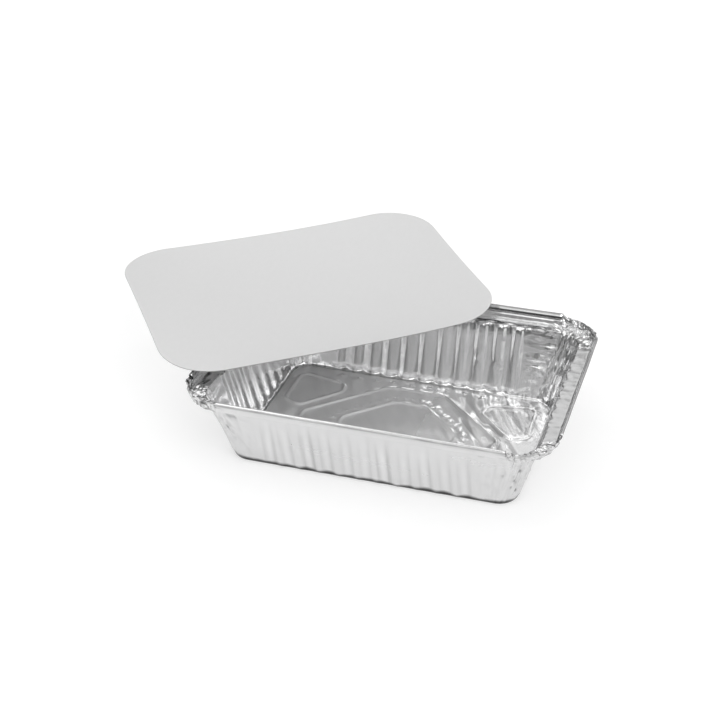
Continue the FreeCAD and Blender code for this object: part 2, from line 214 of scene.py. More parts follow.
def bez(p0, p1, p2, t):
    return ((1 - t) ** 2 * p0[0] + 2 * t * (1 - t) * p1[0] + t * t * p2[0],
            (1 - t) ** 2 * p0[1] + 2 * t * (1 - t) * p1[1] + t * t * p2[1])


def wall_o(z):
    """Distance beyond the wall foot at height z, on the way to the wall top."""
    return (z - FOOT_Z) / (FLANGE_Z - FOOT_Z)


P = []             # list of (NC, 3) arrays, in mm
KIND = []


def add_row(xy, z, kind):
    zz = np.full(NC, float(z)) if np.isscalar(z) else np.asarray(z, float)
    P.append(np.column_stack([xy, zz]))
    KIND.append(kind)


def lerp_wall(z):
    w = wall_o(z)
    return B + (T - B) * w


def rib_fade(z):
    """Ribs run out over the fold at the base and deepen towards the top."""
    z = np.asarray(z, float)
    return (0.06 + 0.94 * smooth(z, 0.2, 4.6)) * (0.55 + 0.45 * smooth(z, 2.0, 36.0))


t0 = FOIL
# base edge and the fold to the wall
add_row(B - N2 * 3.3, t0, "base")
add_row(B - N2 * 2.4, t0, "base")
for t in (0.0, 0.16, 0.32, 0.48, 0.64, 0.8, 1.0):
    zt = 2.1
    # per column, because the draft differs at the corners
    o2 = (T - B) * wall_o(zt)
    o1 = (T - B) * wall_o(t0)
    p0 = B - N2 * 1.6
    p1 = B + o1
    p2 = B + o2
    xy = (1 - t) ** 2 * p0 + 2 * t * (1 - t) * p1 + t * t * p2
    z = (1 - t) ** 2 * t0 + 2 * t * (1 - t) * t0 + t * t * zt
    xy = xy + N2 * (WAVE * float(rib_fade(z)))[:, None]
    add_row(xy, z, "fold0")
for z in np.r_[2.9, 3.9, np.linspace(5.2, 38.7, 20)]:
    add_row(lerp_wall(z) + N2 * (WAVE * float(rib_fade(z)))[:, None], z, "wall")
# wall to flange
for t in (0.25, 0.5, 0.75, 1.0):
    z0 = 40.2
    p0 = lerp_wall(z0)
    p1 = T
    p2 = T + N2 * 0.45
    xy = (1 - t) ** 2 * p0 + 2 * t * (1 - t) * p1 + t * t * p2
    z = (1 - t) ** 2 * z0 + 2 * t * (1 - t) * FLANGE_Z + t * t * FLANGE_Z
    xy = xy + N2 * (WAVE * (1.0 - 0.35 * t))[:, None]
    add_row(xy, z, "lip")

# flange
for t in np.linspace(0, 1, 7)[1:]:
    p0, p1 = T + N2 * 0.45, F - N2 * 0.8
    add_row(p0 + (p1 - p0) * t + N2 * (WAVE * np.where(SIDE == 1, 0.25, 0.65) * (1 - t) ** 2)[:, None], FLANGE_Z, "flange")
# fold and upstand, in a section leaning outward
over = RIM[0] - FOLD[0]
ROLL_DROP, ROLL_OUT = 4.7, 0.8
lean = math.radians(68.0)
for _ in range(30):
    top_s = over - ROLL_OUT * math.sin(lean) + 0.45 * math.cos(lean)
    top_z = RIM_Z - 0.05 * math.cos(lean)
    lean = math.atan2(top_z - FLANGE_Z, top_s)
un, uz = math.cos(lean), math.sin(lean)
nn, nzv = math.sin(lean), -math.cos(lean)
full = math.hypot(top_s, top_z - FLANGE_Z)
h0 = full - ROLL_DROP


def sec_row(a, b, kind):
    add_row(F + N2 * (a * un + b * nn), FLANGE_Z + a * uz + b * nzv, kind)


for t in (0.25, 0.5, 0.75, 1.0):
    o, z = bez((-0.8, 0.0), (0.0, 0.0), (0.8 * un, 0.8 * uz), t)
    add_row(F + N2 * o, FLANGE_Z + z, "fold1")
for a in np.linspace(0.8, h0, 5)[1:]:
    sec_row(a, 0.0, "up")
# on the corners the plain upstand goes on above this row, on the runs the roll
S_ROW = len(P) - 1
for a in np.linspace(h0, full - 0.9, 6)[1:]:
    sec_row(a, 0.0, "upc")
T_ROW = len(P) - 1
# it leans out, curls over the top and ends in a free edge on the inside,
# with a slot below that edge
roll = [(1.62, 44.28), (2.30, 44.95), (2.88, 45.85), (3.14, 46.60), (3.28, 47.25), (3.32, 47.58),
        (3.20, 47.78), (2.85, 47.87), (2.50, 47.95), (2.28, 47.90), (2.02, 47.62), (1.70, 47.18),
        (1.40, 46.76), (1.31, 46.58), (1.24, 46.38), (1.08, 45.84), (0.90, 45.22), (0.86, 45.02),
        (0.93, 44.86), (1.10, 44.84)]
for o_, z_ in roll:
    add_row(F + N2 * o_, z_, "roll")
P = np.array(P)                                   # rows, columns, 3
NR = len(P)
IS = {k: np.array([kk == k for kk in KIND]) for k in set(KIND)}
KIND_N = np.array(KIND)
FR_T = np.zeros(NR)
FR_T[IS["flange"]] = np.linspace(0.2, 1.0, IS["flange"].sum())
FLUTE = np.zeros(NC)
for c, col in enumerate(cols):
    if col["run"] and col["panel"] == 0.0:
        half = (RIBS[0 if col["k"] in (0, 2) else 1] - 2) / 2 * PITCH
        kf = min(half, max(-half, (round(col["s"] / PITCH - 0.5) + 0.5) * PITCH))
        FLUTE[c] = math.exp(-((col["s"] - kf) / 1.7) ** 2)

# ---------------------------------------------------------------------------
# displacement
# ---------------------------------------------------------------------------
X, Y, Z = P[..., 0], P[..., 1], P[..., 2]
N3 = np.column_stack([N2, np.zeros(NC)])[None]    # outward, level
UPV = np.array([0.0, 0.0, 1.0])
NUP = np.column_stack([N2 * nn, np.full(NC, nzv)])[None]   # outward from the upstand
height = np.clip(Z / FLANGE_Z, 0, 1)
wallish = smooth(Z, 0.6, 5.0) * (1 - smooth(Z, 39.4, 40.6))
is_flat = (IS["flange"] | IS["lip"])[:, None]
rim_part = (IS["fold1"] | IS["up"] | IS["upc"] | IS["roll"])[:, None]

A2 = np.broadcast_to(ARC[None], Z.shape)
# how crumpled each flank of each corner is
LEVEL = np.array([[0.10, 0.85, 0.0, 0.0], [0.0, 0.95, 1.0, 0.0], [0.0, 0.0, 0.6, 0.6], [0.10, 0.0, 0.0, 0.6]])[NEAR, FLANK]
sq = np.stack([A2 / 9.0, Z / 12.0, np.full_like(Z, 1.7)], -1)
warp = nz4.fbm(sq, 2)
# soft buckles of the walls
d = 0.14 * nz1.fbm(P / 19.0, 2) + 0.04 * nz2.fbm(P / 5.5, 2)
# plain panels: level wavy wrinkles
lev = zigzag(Z * 1.0 + 2.6 * warp + 3.0 * nz1(np.stack([A2 / 17.0, Z / 40.0, np.full_like(Z, 4.4)], -1)) + 20.0, 31, 2.2, 4.6)
w_lev = (smooth(AQ, 8.0, 19.0) * (1.0 - smooth(AQ, 30.0, 38.0)) * LEVEL)[None]
soft = 0.5 + 0.5 * nz3(np.stack([A2 / 14.0, Z / 11.0, np.full_like(Z, 9.1)], -1))
d = d + 0.62 * lev * w_lev * (0.20 + soft)
# corners: upright folds, deeper towards the top, running a little askew
up1 = zigzag(A2 + 2.0 * warp + 0.10 * (Z - 20) * nz3(np.stack([A2 / 11.0, Z * 0, Z * 0 + 3.0], -1)), 5, 1.8, 4.2)
up2 = zigzag(A2 * 1.0 - 1.6 * warp + 7.0, 6, 1.1, 2.4)
w_up = W_ARC[None] * (0.38 + 0.62 * height)
d = d + (0.70 * up1 + 0.34 * up2) * w_up
d = d + 0.20 * up1 * (smooth(AQ, 12.0, 20.0) * (1 - smooth(AQ, 24.0, 34.0)) * LEVEL)[None] * height ** 2
d = d + 0.45 * nz2.ridge(P / 6.2, 2) * (W_WIDE * (0.25 + 0.75 * LEVEL))[None]
# the whole right wall is a little crumpled
right_w = np.where(SIDE == 1, 1.0, 0.0)
d = d + 0.36 * nz3.ridge(P / 6.5, 2) * right_w[None]
# the foot of the left wall is a little crushed
d = d + 0.30 * nz2.ridge(P / 4.6, 2) * np.where(SIDE == 3, 1.0, 0.0)[None] * (1 - smooth(Z, 4.0, 10.0))
P = P + N3 * (d * wallish)[..., None]

# the hollow at the foot of each flute
foot = (KIND_N == "fold0") | (KIND_N == "wall")
dz = np.exp(-((Z - 2.0) / 1.5) ** 2) * foot[:, None]
P = P + N3 * (0.7 * dz * (FLUTE * np.where(SIDE == 3, 0.3, 1.0))[None])[..., None]

flute_w = np.clip((WAVE + 1.1) / 1.4, 0, 1) * (PANEL == 0) * RUNS
P = P + N3 * (0.45 * smooth(Z, 37.6, 39.9) * (1 - smooth(Z, 40.3, 40.6)) * foot[:, None] * flute_w[None])[..., None]
dip = np.where(IS["lip"], 1.0, np.where(IS["flange"], (1 - smooth(FR_T, 0.1, 0.6)), 0.0))
P[:, :, 2] -= 0.42 * dip[:, None] * (flute_w * np.where(SIDE == 1, 0.22, 1.0))[None]

# small pinches pressed into the foil while it was handled
PINCH = [(31.9, 61.7, 20.0, 1.5, 0.55), (34.6, 62.6, 23.6, 1.1, 0.40), (43.9, 60.5, 15.9, 1.4, 0.55),
         (41.2, 61.6, 19.4, 1.0, 0.35), (47.2, 64.4, 30.5, 1.0, 0.30), (20.1, 60.7, 12.0, 1.2, 0.25)]
for px, py, pz, pr, pd in PINCH:
    dd = (P[..., 0] - px) ** 2 + (P[..., 1] - py) ** 2 + (P[..., 2] - pz) ** 2
    along = (P[..., 2] - pz) * 0.8 + (A2 - ARC[np.argmin(np.hypot(F[:, 0] - px * 1.1, F[:, 1] - py * 1.1))]) * 0.6
    P = P - N3 * (pd * np.exp(-dd / (2 * pr * pr)) * np.cos(np.clip(along / pr, -3, 3) * 1.2) * foot[:, None])[..., None]

# flange: small crumples, larger towards the corners, with folds running outward
fwarp = nz4(np.stack([A2 / 5.0, (P[..., 0] ** 2 + P[..., 1] ** 2) ** 0.5 / 5.0, np.full_like(Z, 2.2)], -1))
fz1 = zigzag(A2 + 1.6 * fwarp, 11, 1.6, 3.8)
fz2 = zigzag(A2 - 1.2 * fwarp + 31.0, 12, 1.0, 2.2)
w_f = (0.16 + 0.84 * (1.0 - smooth(AQ, 20.0, 46.0)))[None] * np.where(SIDE == 1, 0.20, 1.0)[None]
fl = 0.10 * nz1.ridge(P / 5.0, 2) * (0.5 + w_f)
fl = fl + (0.22 * fz1 + 0.08 * fz2) * w_f + (0.40 * fz1 + 0.16 * fz2) * W_ARC[None]
mask = (is_flat * smooth(Z, 40.0, 40.7))
lift = (0.45 + 0.55 * smooth(FR_T, 0.0, 1.0))[:, None]
P = P + UPV * (fl * mask * lift)[..., None]

fine = 0.42 * nz2.ridge(P / 2.9, 1) + 0.24 * nz3.ridge(P / 1.6, 1)
P = P + UPV * (fine * mask * (0.10 + 0.90 * (1.0 - smooth(AQ, 18.0, 34.0)) * np.where(SIDE == 1, 0.12, 1.0))[None])[..., None]

# upstand and rim
upp = np.zeros(NR)
start = int(np.argmax(IS["fold1"]))
upp[start:T_ROW + 1] = np.linspace(0, 1, T_ROW + 1 - start)
upp[T_ROW + 1:] = 1.0
up = np.broadcast_to(upp[:, None], Z.shape)
cr = 0.38 * nz2.ridge(P / 3.4, 2) + 0.24 * nz4.ridge(P / 1.7, 2)
w_c = W_ARC[None] * CORNER[None]
fold_out = (0.30 + 0.55 * up) * fz1 + (0.15 + 0.35 * up) * fz2
run_c = (0.06 + 0.10 * (1.0 - smooth(AQ, 20.0, 44.0)))[None] * (1 - CORNER[None]) * (1.0 - up * 0.75)
P = P + NUP * ((cr * (run_c + 1.15 * w_c) + fold_out * w_c) * rim_part)[..., None]
P = P + UPV * (((0.40 * fz1 + 0.16 * fz2) * (1 - up) ** 2 * W_ARC[None]) * rim_part)[..., None]
# corner tops: how high each crumpled corner ends
RISE = np.array([-0.9, -1.3, -0.2, 1.0])[KK] * CORNER_UP
jag = 0.55 * nz3.fbm(np.column_stack([F / 2.6, np.zeros(NC)]), 2) * CORNER
P[:, :, 2] += np.where(rim_part, up * (RISE + jag)[None], 0.0)
P = P + N3 * (np.where(rim_part, up * (-0.25 * MIDC)[None], 0.0))[..., None]
# the long soft waves of the rolled rim
wob = nz1.fbm(np.column_stack([F / 24.0, np.full(NC, 3.3)]), 2)
wob2 = nz2.fbm(np.column_stack([F / 9.0, np.full(NC, 5.3)]), 2)
amp = up * RUNS[None]
P = P + N3 * (amp * (0.22 * wob + 0.06 * wob2)[None])[..., None]
P[:, :, 2] += amp * (0.10 * wob2 - 0.05)[None]

# ---------------------------------------------------------------------------
# painted shade on the outer skin: the bottom fold is painted dark as contact shade, and the raised
# lines of the ribs and the corners carry faint painted dark streaks
# ---------------------------------------------------------------------------
wr = np.random.RandomState(8)
S_ALONG = np.array([c["s"] for c in cols])
RIB_NO = np.round(S_ALONG / PITCH).astype(int) + 20 + 50 * KK
strength = wr.rand(300)[RIB_NO] * 0.8 + 0.4
shift = (wr.rand(300)[RIB_NO] - 0.5) * 1.6
d_rib = (S_ALONG - np.round(S_ALONG / PITCH) * PITCH)[None] + shift[None] + 0.05 * (Z - 12) * (wr.rand(300)[RIB_NO] - 0.3)[None]
# painted dark streaks beside the rib lines, with dark patches at the corners below: painted shade
rib_shade = np.exp(-((d_rib - 2.2) / 1.0) ** 2) + 0.7 * np.exp(-((d_rib + 3.4) / 0.8) ** 2) - 0.35 * np.exp(-((d_rib + 0.6) / 1.1) ** 2)
rib_shade = 1.9 * rib_shade * (RUNS & (PANEL == 0))[None] * strength[None] * (1 - smooth(Z, 14.0, 37.0))
rib_shade = rib_shade + 0.9 * np.clip(nz3.ridge(np.stack([A2 / 2.4, Z / 9.0, np.full_like(Z, 5.5)], -1), 1) - 0.35, 0, 1) * W_WIDE[None]
rib_shade = rib_shade + 1.1 * np.clip(nz1.ridge(P / 3.2, 1) - 0.55, 0, 1) * (W_ARC * np.array([1.0, 1.0, 0.8, 1.3])[NEAR])[None] * height
# the dark band along the bottom fold, up to this height: painted contact shade
shade_top_z = 3.5 + 1.2 * nz2.fbm(np.column_stack([F / 7.0, np.full(NC, 6.6)]), 2) + 0.9 * W_ARC \
    + 5.0 * np.exp(-((TH - 0.20) / 0.14) ** 2) * (CORNER > 0) * (KK == 3)
contact_shade = (1 - smooth(Z, 0.52 * shade_top_z[None], shade_top_z[None])) * (IS["fold0"] | IS["wall"])[:, None]
contact_shade[0] = 0.0
contact_shade[1] = 0.25
SHADE_OUT = 1 - (1 - 0.13 * np.clip(rib_shade, -0.5, 2.2) * foot[:, None]) * (1 - 0.90 * contact_shade)
# creases and crumpled corners painted darker: painted shade in the creases
CREASE_SHADE = np.clip(nz2.ridge(P / 2.7, 1) - 0.30, 0, 1) / 0.70 + 0.7 * np.clip(nz4.ridge(P / 1.6, 1) - 0.45, 0, 1)
CREASE_SHADE = np.clip(CREASE_SHADE, 0, 1) * (W_ARC * np.array([0.50, 0.76, 0.50, 0.88])[NEAR])[None] * (is_flat | rim_part)
CREASE_SHADE = CREASE_SHADE + 0.30 * np.clip(nz3.ridge(P / 3.0, 1) - 0.45, 0, 1) * (W_ARC * np.array([0.5, 1.0, 0.6, 1.2])[NEAR])[None] * foot[:, None] * smooth(Z, 8.0, 24.0)
# short painted dark nips along the wall top and along the foot: painted shade of the flute tops and the foot
nip1 = np.clip(zigzag(A2 + 0.6 * warp, 15, 1.4, 3.6) * 1.6, 0, 1)
nip2 = np.clip(zigzag(A2 + 1.2 * warp + 9.0, 17, 1.6, 4.4) * 1.6 - 0.2, 0, 1)
CREASE_SHADE = CREASE_SHADE + 0.72 * nip1 * (IS["lip"])[:, None] * (1 - W_ARC)[None] * np.where(SIDE == 1, 0.5, 1.0)[None]
CREASE_SHADE = CREASE_SHADE + 0.62 * nip2 * (IS["fold0"])[:, None] * smooth(Z, 0.15, 0.5) * np.array([0.0, 1.0, 0.8, 0.9])[np.where(SIDE < 0, 1, SIDE)][None]
# the left wall, the left part of the back wall, and low on the right wall and front-right corner painted darker:
# painted shade
CREASE_SHADE = CREASE_SHADE + (0.12 * (SIDE == 3) + 0.10 * (SIDE == 2) * smooth(-F[:, 0], -25.0, 15.0))[None] * (foot * 1.0)[:, None]
low_right = np.where((SIDE == 1) | ((KK == 1) & (CORNER > 0)) | ((SIDE == 0) & (KK == 0) & (AQ < 0)), 1.0, 0.0)
CREASE_SHADE = CREASE_SHADE + 0.60 * np.clip(nz1.ridge(P / 3.6, 1) - 0.10, 0, 1) * low_right[None] * foot[:, None] * (1 - smooth(Z, 5.0, 14.0))
CREASE_SHADE = np.clip(CREASE_SHADE, 0, 0.9)
# small dents near the front corners, each painted dark: painted shade in the dents
DENT_SHADE = np.zeros_like(Z)
NICKS = [(80.2, -59.6, 19.8, 0.75, 0.75),
         (80.4, -58.0, 16.8, 0.6, 0.6),
         (82.8, -60.8, 26.5, 0.8, 0.8),
         (79.7, -60.9, 22.2, 0.6, 0.6),
         (80.1, -54.8, 10.5, 0.55, 0.6),
         (78.1, -58.3, 14.2, 0.5, 0.5),
         (85.5, -63.2, 35.8, 0.6, 0.5),
         (79.9, -67.2, 39.5, 0.6, 0.5),
         (63.1, -66.3, 35.8, 0.8, 0.42),
         (65.1, -66.7, 37.2, 0.8, 0.5),
         (67.5, -66.8, 37.5, 0.8, 0.42),
         (75.9, -63.2, 25.5, 0.6, 0.35),
         (74.5, -62.6, 23.2, 0.5, 0.3),
         (84.1, -65.5, 38.8, 0.6, 0.4),
         (-76.0, -65.9, 34.5, 0.8, 0.45),
         (-74.1, -65.6, 33.5, 0.9, 0.5),
         (-71.6, -65.5, 32.8, 0.8, 0.4),
         (-77.1, -62.9, 25.2, 0.8, 0.6),
         (-76.2, -62.7, 23.8, 0.7, 0.6),
         (-84.8, -51.9, 18.5, 0.6, 0.5),
         (-74.4, -62.2, 21.8, 0.6, 0.3)]
for px, py, pz, pr, pd in NICKS:
    dd = ((P[..., 0] - px) ** 2 + (P[..., 1] - py) ** 2) + 0.8 * (P[..., 2] - pz) ** 2
    DENT_SHADE = np.maximum(DENT_SHADE, min(0.96, 1.5 * pd) * np.exp(-dd / (1.25 * pr * pr)))
    P = P - N3 * (0.30 * np.exp(-dd / (2.6 * pr * pr)) * foot[:, None])[..., None]
SHADE_OUT = 1 - (1 - SHADE_OUT) * (1 - CREASE_SHADE) * (1 - DENT_SHADE * foot[:, None])
R0 = T_ROW + 1
side_of = np.where(SIDE < 0, 0, SIDE)
# rows of the roll painted darker by side (front, right, rear): painted shade of the slot and under-curl below the
# roll's band
for k_, front_, right_, rear_ in ((2, 0.20, 0.0, 0.0), (3, 0.62, 0.0, 0.35), (4, 0.50, 0.15, 0.72), (5, 0.0, 0.35, 0.85),
                                  (6, 0.0, 0.10, 0.92), (7, 0.0, 0.0, 0.92), (8, 0.0, 0.0, 0.88), (9, 0.0, 0.0, 0.78), (10, 0.0, 0.0, 0.15), (12, 0.25, 0.10, 0.25),
                                  (13, 0.55, 0.25, 0.60), (14, 0.60, 0.25, 0.66), (15, 0.50, 0.20, 0.55), (16, 0.50, 0.20, 0.50),
                                  (17, 0.50, 0.20, 0.50), (18, 0.50, 0.20, 0.50), (19, 0.50, 0.20, 0.50)):
    SHADE_OUT[R0 + k_] = np.array([front_, right_, rear_, rear_])[side_of] * (0.8 + 0.4 * wob2)

# ---------------------------------------------------------------------------
# base: beads and pips pressed up, triangulated between them
# ---------------------------------------------------------------------------


def offset(poly, dd):
    poly = np.asarray(poly, float)
    a = poly - np.roll(poly, 1, 0)
    b = np.roll(poly, -1, 0) - poly
    a /= np.linalg.norm(a, axis=1)[:, None]
    b /= np.linalg.norm(b, axis=1)[:, None]
    n1 = np.column_stack([a[:, 1], -a[:, 0]])
    n2 = np.column_stack([b[:, 1], -b[:, 0]])
    return poly + dd * (n1 + n2) / (1.0 + (n1 * n2).sum(1))[:, None]


def rounded(poly, r, n=7):
    m = len(poly)
    out = []
    for i in range(m):
        p = np.array(poly[i - 1], float)
        c = np.array(poly[i], float)
        q = np.array(poly[(i + 1) % m], float)
        a, b = p - c, q - c
        la, lb = np.linalg.norm(a), np.linalg.norm(b)
        a, b = a / la, b / lb
        ang = math.acos(max(-1.0, min(1.0, float(a @ b))))
        cut = min(r / math.tan(ang / 2), 0.46 * min(la, lb))
        rr = cut * math.tan(ang / 2)
        bis = a + b
        ctr = c + bis / np.linalg.norm(bis) * rr / math.sin(ang / 2)
        s, e = c + a * cut - ctr, c + b * cut - ctr
        a0, a1 = math.atan2(s[1], s[0]), math.atan2(e[1], e[0])
        while a1 < a0:
            a1 += 2 * math.pi
        for j in range(n + 1):
            t = a0 + (a1 - a0) * j / n
            out.append(ctr + rr * np.array([math.cos(t), math.sin(t)]))
    return np.array(out)


def resample(poly, step):
    poly = np.vstack([poly, poly[:1]])
    seg = np.linalg.norm(np.diff(poly, axis=0), axis=1)
    keep = np.r_[True, seg > 1e-9]
    poly = poly[keep]
    s = np.r_[0, np.cumsum(np.linalg.norm(np.diff(poly, axis=0), axis=1))]
    n = max(12, int(round(s[-1] / step)))
    t = np.arange(n) * s[-1] / n
    return np.column_stack([np.interp(t, s, poly[:, 0]), np.interp(t, s, poly[:, 1])])


OUTER = [(57.5, 4.0), (17.5, 44.0), (-17.5, 44.0), (-57.5, 4.0),
         (-57.5, -4.0), (-17.5, -44.0), (17.5, -44.0), (57.5, -4.0)]
INNER = [(34.0, 4.0), (9.0, 29.0), (-9.0, 29.0), (-34.0, 4.0),
         (-34.0, -4.0), (-9.0, -29.0), (9.0, -29.0), (34.0, -4.0)]
RING = [(72.8, 13.9), (72.4, 45.9), (43.7, 39.9), (42.1, 30.9), (62.8, 8.3)]

pts, hts, foot = [], [], []
PROFILE = [(1.75, 0.0), (1.25, 0.22), (0.75, 0.74), (0.25, 1.0),
           (-0.25, 1.0), (-0.75, 0.74), (-1.25, 0.22), (-1.75, 0.0)]


def add_bead(poly, r, h, fade=False, ring_shade=0.0):
    line = resample(rounded(poly, r), 1.6)
    for dd, hh in PROFILE:
        for p in offset(line, dd):
            pts.append(p)
            k_ = 1.0 - 0.80 * float(smooth(p[0], 12.0, 26.0)) if fade else 1.0 + 0.45 * float(smooth(p[0], 38.0, 48.0))
            hts.append(h * hh * k_)
            # the inner foot of the corner rings painted dark, on the right part of the base: painted shade at the
            # bead's edge
            foot.append(ring_shade * {-1.25: 0.75, -0.75: 0.45, -1.75: 0.30, 1.75: 0.12}.get(dd, 0.0)
                        * float(smooth(p[0], 20.0, 40.0)))
    return line


outer_line = add_bead(OUTER, 8.0, BEAD_H)
inner_line = add_bead(INNER, 8.0, BEAD_H, fade=True)
for sx in (1, -1):
    for sy in (1, -1):
        ring = [(x * sx, y * sy) for x, y in RING]
        if sx * sy < 0:
            ring = ring[::-1]
        add_bead(ring, 5.0, BEAD_H, ring_shade=0.62)


def add_pip(x, y, rad, h):
    pts.append((x, y)); hts.append(h)
    for rr, hh, m in ((0.45, 0.74, 6), (1.0, 0.0, 8)):
        for j in range(m):
            a = 2 * math.pi * (j + 0.5 * (m % 4 == 0)) / m
            pts.append((x + rad * rr * math.cos(a), y + rad * rr * math.sin(a)))
            hts.append(h * hh)


pip_line = resample(offset(resample(rounded(INNER, 8.0), 1.0), 4.6), 5.3)
for x, y in pip_line:
    add_pip(x, y, 1.10, 0.30 + 0.50 * float(smooth(x, -5.0, 15.0)))
for i in range(RIBS[0] - 1):
    x = (i - (RIBS[0] - 2) / 2) * PITCH
    for sy in (1, -1):
        add_pip(x, sy * 49.6, 1.30, 0.85)

feature = np.array(pts)
tree = KDTree(len(feature))
for i, p in enumerate(feature):
    tree.insert((p[0], p[1], 0), i)
tree.balance()
edge_loop = P[0][:, :2].copy()
hx, hy = BASE[0] - 3.3 - 1.6, BASE[1] - 3.3 - 1.6
rc = BASE_R - 3.3 - 0.6
step = 3.3
jit = np.random.RandomState(12)
yy = -hy
row = 0
while yy <= hy:
    xx = -hx + (row % 2) * step / 2
    while xx <= hx:
        x = xx + (jit.rand() - 0.5) * 0.6
        y = yy + (jit.rand() - 0.5) * 0.6
        xx += step
        ax, ay = abs(x) - (hx - rc), abs(y) - (hy - rc)
        if ax > 0 and ay > 0 and math.hypot(ax, ay) > rc:
            continue
        if tree.find((x, y, 0))[2] < 1.5:
            continue
        pts.append((x, y))
        hts.append(0.0)
    yy += step * 0.866
    row += 1

n_edge = NC
all_xy = [Vector((float(x), float(y))) for x, y in edge_loop] + [Vector((float(p[0]), float(p[1]))) for p in pts]
all_h = np.r_[np.zeros(n_edge), np.array(hts)]
cdt = delaunay_2d_cdt(all_xy, [(i, (i + 1) % n_edge) for i in range(n_edge)], [], 1, 1e-6)
cv, ce, cf, cov = cdt[0], cdt[1], cdt[2], cdt[3]
cv = np.array([(v[0], v[1]) for v in cv])
first = [o[0] if len(o) else -1 for o in cov]
dark = {n_edge + i: d for i, d in enumerate(foot) if d > 0}
ch = np.array([all_h[f] if f >= 0 else 0.0 for f in first])
is_edge = {f: i for i, f in enumerate(first) if 0 <= f < n_edge}
q = np.column_stack([cv / 26.0, np.full(len(cv), 0.7)])
inner_mask = smooth(np.minimum(BASE[0] - 3.3 - np.abs(cv[:, 0]), BASE[1] - 3.3 - np.abs(cv[:, 1])), 0.0, 10.0)
flat = (0.5 + 0.5 * nz1.fbm(q, 2)) * 0.30 + 0.012 * nz2.fbm(np.column_stack([cv / 7.0, np.full(len(cv), 2.7)]), 2)
cz = t0 + ch + np.clip(flat, 0, 1) * inner_mask

# ---------------------------------------------------------------------------
# one mesh: inner skin, outer skin, and the cut edge between them
# ---------------------------------------------------------------------------
verts = []
faces = []
face_roll = []
face_flat = []
face_base = []
vid = -np.ones((NR, NC), int)
# rows above T_ROW exist only on the straight runs
for r in range(NR):
    for c in range(NC):
        if r <= S_ROW or (r <= T_ROW and not RUNS[c]) or (r > T_ROW and RUNS[c]):
            vid[r, c] = len(verts)
            verts.append(P[r, c])
# a run's end columns carry the corner's rows too, under the roll's end
ENDS = [c for c in range(NC) if RUNS[c] and (not RUNS[(c + 1) % NC] or not RUNS[c - 1])]
end_id = {}
for c in ENDS:
    for r in range(S_ROW + 1, T_ROW + 1):
        end_id[r, c] = len(verts)
        verts.append(P[r, c])
for r in range(NR - 1):
    for c in range(NC):
        c2 = (c + 1) % NC
        run_pair = RUNS[c] and RUNS[c2]
        if S_ROW <= r < T_ROW:
            if run_pair:
                continue
            q4 = [end_id.get((rr, cc), vid[rr, cc]) for rr, cc in ((r, c), (r, c2), (r + 1, c2), (r + 1, c))]
        elif r == T_ROW:
            if not run_pair:
                continue
            q4 = [vid[S_ROW, c], vid[S_ROW, c2], vid[r + 1, c2], vid[r + 1, c]]
        elif r > T_ROW and not run_pair:
            continue
        else:
            q4 = [vid[r, c], vid[r, c2], vid[r + 1, c2], vid[r + 1, c]]
        a, b, c_, d_ = q4
        faces.append((a, d_, c_, b))
        face_roll.append(r > T_ROW + 3 and run_pair)
        face_flat.append(W_ARC[c] > 0.25 and KIND_N[min(r + 1, NR - 1)] in ("flange", "fold1", "up", "upc"))
        face_base.append(KIND_N[r] == "base")
base_id = np.empty(len(cv), int)
BEAD_FOOT_SHADE = {}
for i in range(len(cv)):
    f = first[i]
    if 0 <= f < n_edge:
        base_id[i] = vid[0, f]
    else:
        base_id[i] = len(verts)
        verts.append((cv[i, 0], cv[i, 1], cz[i]))
        BEAD_FOOT_SHADE[int(base_id[i])] = dark.get(f, 0.0)
for tri in cf:
    a, b, c_ = [base_id[i] for i in tri]
    pa, pb, pc = [np.array(verts[i]) for i in (a, b, c_)]
    nzz = (pb[0] - pa[0]) * (pc[1] - pa[1]) - (pb[1] - pa[1]) * (pc[0] - pa[0])
    faces.append((a, b, c_) if nzz > 0 else (a, c_, b))
    face_roll.append(False)
    face_flat.append(False)
    face_base.append(True)
V = np.array(verts, float)

tmp = bpy.data.meshes.new("tmp")
tmp.from_pydata([tuple(v) for v in V], [], faces)
tmp.update()
VN = np.zeros(len(V) * 3)
tmp.vertex_normals.foreach_get("vector", VN)
VN = VN.reshape(-1, 3)
edge_use = {}
for f in faces:
    for i in range(len(f)):
        a, b = f[i], f[(i + 1) % len(f)]
        key = (min(a, b), max(a, b))
        edge_use.setdefault(key, []).append((a, b))
border = [e[0] for e in edge_use.values() if len(e) == 1]
V2 = V - VN * FOIL
V2[:, 2] = np.maximum(V2[:, 2], 0.0)
n0 = len(V)
allv = np.vstack([V, V2]) * MM
allf = list(faces) + [tuple(n0 + i for i in f[::-1]) for f in faces]
allf += [(b, a, n0 + a, n0 + b) for a, b in border]
bpy.data.meshes.remove(tmp)
mesh = bpy.data.meshes.new("foil_container")
mesh.from_pydata([tuple(v) for v in allv], [], allf)
mesh.update()
mesh.shade_smooth()
